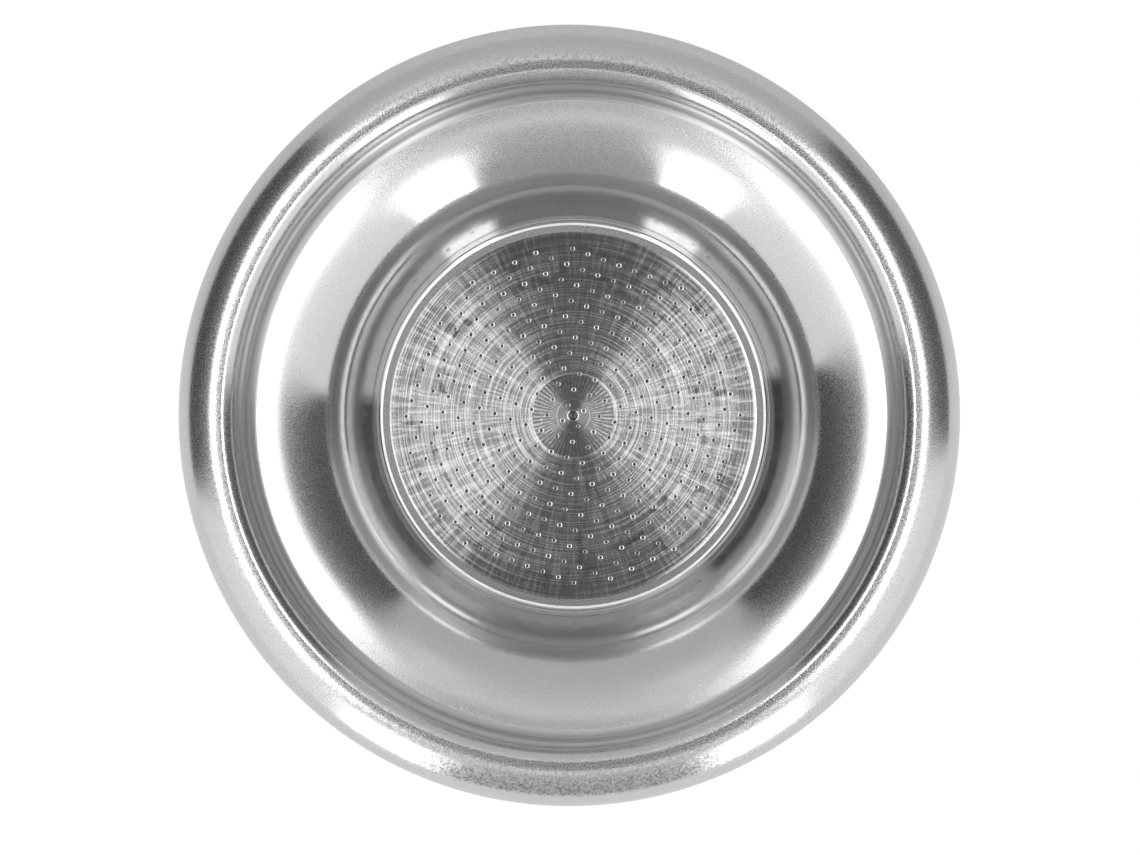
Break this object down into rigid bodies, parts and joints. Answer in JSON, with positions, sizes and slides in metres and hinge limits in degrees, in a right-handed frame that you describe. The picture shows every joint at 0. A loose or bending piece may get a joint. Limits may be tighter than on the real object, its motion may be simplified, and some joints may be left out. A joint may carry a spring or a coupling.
{
  "type": "espresso filter basket",
  "caption": "Round cup of pressed sheet steel with a broad rolled rim, a shoulder, a narrow tapered well and a finely perforated flat base.",
  "frame": {"origin": "centre of the underside of the base, on the basket's axis", "axes": "+Z along the axis, from the base up to the open mouth; X and Y lie in the plane that the base rests on, with +X to the right and +Y to the top of the picture"},
  "size_m": [0.07, 0.07, 0.0245],
  "materials": {
    "stainless_steel": "bright pressed stainless steel with fine turning marks, and concentric brushing on the perforated base"
  },
  "bodies": {
    "root": {"filter_basket": "stainless_steel"}
  },
  "joints": []
}
